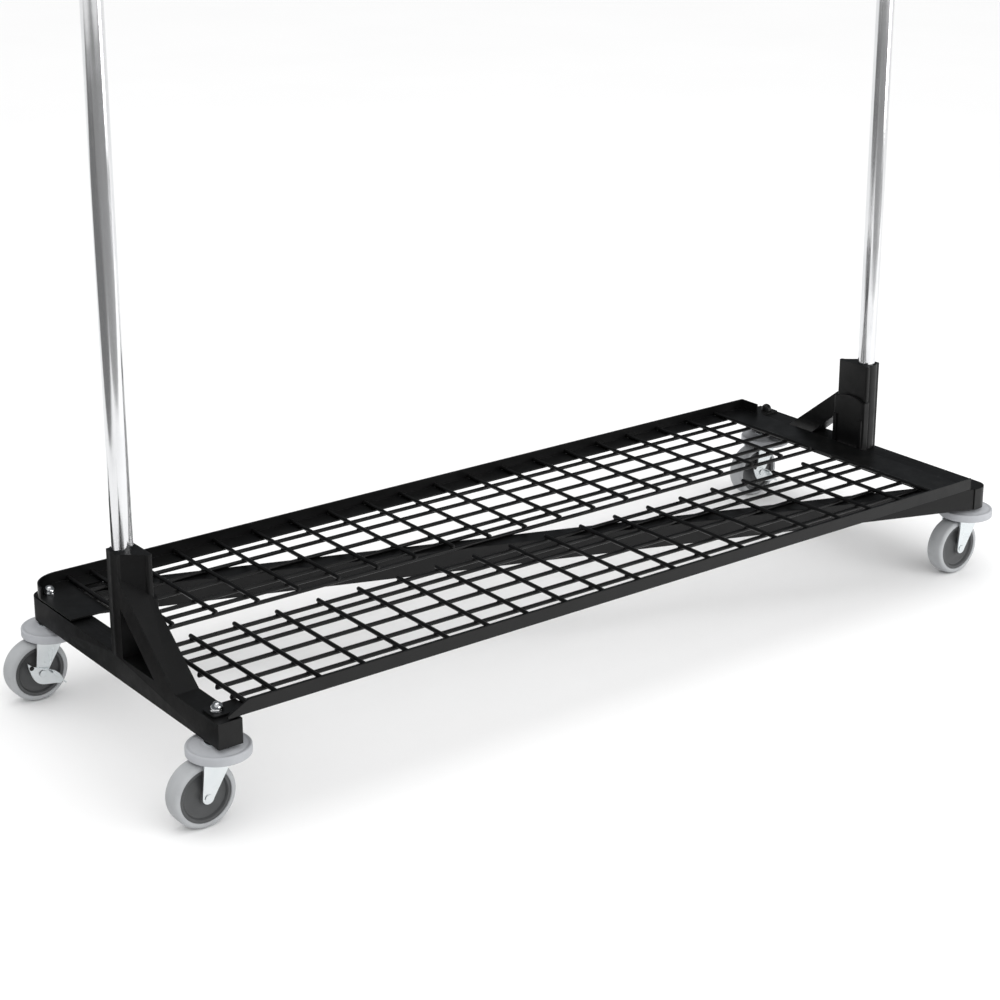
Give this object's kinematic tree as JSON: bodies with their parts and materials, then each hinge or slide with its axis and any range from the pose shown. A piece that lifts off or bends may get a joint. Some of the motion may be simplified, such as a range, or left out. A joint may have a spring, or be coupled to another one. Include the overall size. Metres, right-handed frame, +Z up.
{
  "type": "rolling clothes rack",
  "caption": "Rolling garment rack: black Z-shaped base with a wire shelf, chrome uprights and hang rail, and swivel castors with grey bumpers, the rear ones with brake levers.",
  "frame": {"origin": "on the floor, midway between the two uprights", "axes": "+X along the rack to the right, +Y to the rear, +Z up"},
  "size_m": [1.6505, 0.601, 1.7199],
  "materials": {
    "cast_frame": "black powder coat on castings",
    "black_coat": "semi-gloss black powder coat",
    "chrome_tube": "polished chrome plate",
    "bumper_rubber": "matte grey rubber",
    "tread_rubber": "matte light grey rubber",
    "hub_plastic": "moulded dark grey plastic",
    "zinc_steel": "bright zinc plate",
    "plug_plastic": "moulded black plastic"
  },
  "bodies": {
    "frame": {"bumper_front_left": "bumper_rubber", "bumper_front_right": "bumper_rubber", "bumper_rear_left": "bumper_rubber", "bumper_rear_right": "bumper_rubber", "cap_nut_right": "black_coat", "cap_nuts_left": "chrome_tube", "castor_stem_front_left": "zinc_steel", "castor_stem_front_right": "zinc_steel", "castor_stem_rear_left": "zinc_steel", "castor_stem_rear_right": "zinc_steel", "diagonal_beam": "black_coat", "end_frame_left": "cast_frame", "end_frame_right": "cast_frame", "hang_rail": "chrome_tube", "rail_elbow_left": "cast_frame", "rail_elbow_right": "cast_frame", "rail_set_screws": "zinc_steel", "shelf_frame": "black_coat", "shelf_panel_front": "black_coat", "shelf_panel_rear": "black_coat", "swivel_balls": "zinc_steel", "upright_bolts": "zinc_steel", "upright_left": "chrome_tube", "upright_plugs": "plug_plastic", "upright_right": "chrome_tube"},
    "swivel_front_left": {"axle_bushing_front_left": "zinc_steel", "axle_pin_front_left": "zinc_steel", "fork_front_left": "zinc_steel"},
    "swivel_front_right": {"axle_bushing_front_right": "zinc_steel", "axle_pin_front_right": "zinc_steel", "fork_front_right": "zinc_steel"},
    "swivel_rear_left": {"axle_bushing_rear_left": "zinc_steel", "axle_pin_rear_left": "zinc_steel", "fork_rear_left": "zinc_steel"},
    "swivel_rear_right": {"axle_bushing_rear_right": "zinc_steel", "axle_pin_rear_right": "zinc_steel", "fork_rear_right": "zinc_steel"},
    "brake_rear_left": {"brake_lever_rear_left": "zinc_steel", "brake_pawl_rear_left": "black_coat"},
    "brake_rear_right": {"brake_lever_rear_right": "zinc_steel", "brake_pawl_rear_right": "black_coat"},
    "wheel_front_left": {"wheel_hub_front_left": "hub_plastic", "wheel_tread_front_left": "tread_rubber"},
    "wheel_front_right": {"wheel_hub_front_right": "hub_plastic", "wheel_tread_front_right": "tread_rubber"},
    "wheel_rear_left": {"wheel_hub_rear_left": "hub_plastic", "wheel_tread_rear_left": "tread_rubber"},
    "wheel_rear_right": {"wheel_hub_rear_right": "hub_plastic", "wheel_tread_rear_right": "tread_rubber"}
  },
  "joints": [
    {"name": "swivel_front_left", "type": "hinge", "parent": "frame", "child": "swivel_front_left", "pos_m": [-0.762, -0.254, 0.1], "axis": [0, 0, 1], "continuous": true},
    {"name": "roll_front_left", "type": "hinge", "parent": "swivel_front_left", "child": "wheel_front_left", "pos_m": [-0.793, -0.254, 0.049], "axis": [0, 1, 0], "continuous": true},
    {"name": "swivel_rear_left", "type": "hinge", "parent": "frame", "child": "swivel_rear_left", "pos_m": [-0.762, 0.254, 0.1], "axis": [0, 0, 1], "continuous": true},
    {"name": "roll_rear_left", "type": "hinge", "parent": "swivel_rear_left", "child": "wheel_rear_left", "pos_m": [-0.793, 0.254, 0.049], "axis": [0, 1, 0], "continuous": true},
    {"name": "brake_rear_left", "type": "hinge", "parent": "swivel_rear_left", "child": "brake_rear_left", "pos_m": [-0.793, 0.254, 0.049], "axis": [0, 1, 0], "range_deg": [0, 20]},
    {"name": "swivel_front_right", "type": "hinge", "parent": "frame", "child": "swivel_front_right", "pos_m": [0.762, -0.254, 0.1], "axis": [0, 0, 1], "continuous": true},
    {"name": "roll_front_right", "type": "hinge", "parent": "swivel_front_right", "child": "wheel_front_right", "pos_m": [0.731, -0.254, 0.049], "axis": [0, 1, 0], "continuous": true},
    {"name": "swivel_rear_right", "type": "hinge", "parent": "frame", "child": "swivel_rear_right", "pos_m": [0.762, 0.254, 0.1], "axis": [0, 0, 1], "continuous": true},
    {"name": "roll_rear_right", "type": "hinge", "parent": "swivel_rear_right", "child": "wheel_rear_right", "pos_m": [0.731, 0.254, 0.049], "axis": [0, 1, 0], "continuous": true},
    {"name": "brake_rear_right", "type": "hinge", "parent": "swivel_rear_right", "child": "brake_rear_right", "pos_m": [0.731, 0.254, 0.049], "axis": [0, 1, 0], "range_deg": [0, 20]}
  ]
}
